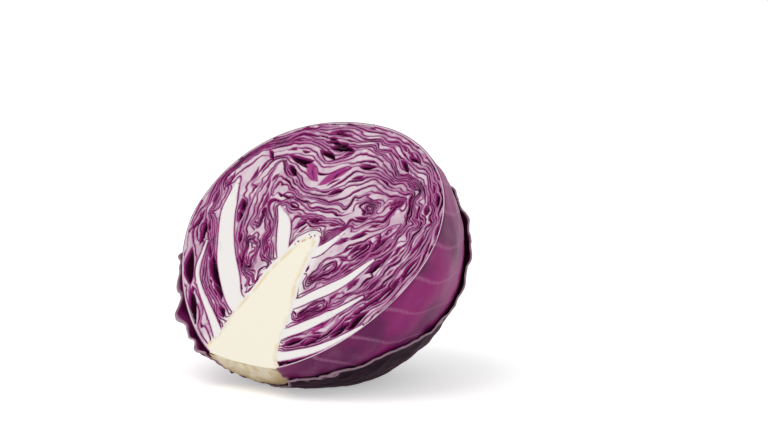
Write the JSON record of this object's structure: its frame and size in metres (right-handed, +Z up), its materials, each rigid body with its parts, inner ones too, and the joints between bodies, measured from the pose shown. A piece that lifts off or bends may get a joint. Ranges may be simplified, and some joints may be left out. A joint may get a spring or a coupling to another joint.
{
  "type": "red cabbage half",
  "caption": "Half head of red cabbage, cut lengthwise through its stem core, with nested leaves, pale midribs and a torn wrapper leaf, lying on its back.",
  "frame": {"origin": "point of the ground straight below the centre of the cut face, on the flat that the half rests on", "axes": "+Z up, -Y the way the cut face looks, leaning back 41 degrees from upright, +X to the right of the cut face"},
  "size_m": [0.1597, 0.1317, 0.1263],
  "materials": {
    "stem": "moist cream plant tissue, matt",
    "midrib": "moist white rib tissue, satin",
    "leaf": "purple leaf skin with a waxy bloom, satin, with pale lavender flesh where it is cut",
    "wrapper": "older, darker leaf skin, matt, with dry torn edges"
  },
  "bodies": {
    "root": {"stem_core": "stem", "midrib_left_large": "midrib", "midrib_left_small": "midrib", "midrib_right_small": "midrib", "midrib_right_upper": "midrib", "midrib_right_lower": "midrib", "heart": "leaf", "wrapper_leaf": "wrapper", "leaf_01": "leaf", "leaf_02": "leaf", "leaf_03": "leaf", "leaf_04": "leaf", "leaf_05": "leaf", "leaf_06": "leaf", "leaf_07": "leaf", "leaf_08": "leaf", "leaf_09": "leaf", "leaf_10": "leaf", "leaf_11": "leaf", "leaf_12": "leaf", "leaf_13": "leaf", "leaf_14": "leaf", "leaf_15": "leaf", "leaf_16": "leaf", "leaf_17": "leaf", "leaf_18": "leaf", "leaf_19": "leaf", "leaf_20": "leaf", "leaf_21": "leaf", "leaf_22": "leaf", "leaf_23": "leaf", "leaf_24": "leaf", "leaf_25": "leaf", "leaf_26": "leaf"}
  },
  "joints": []
}
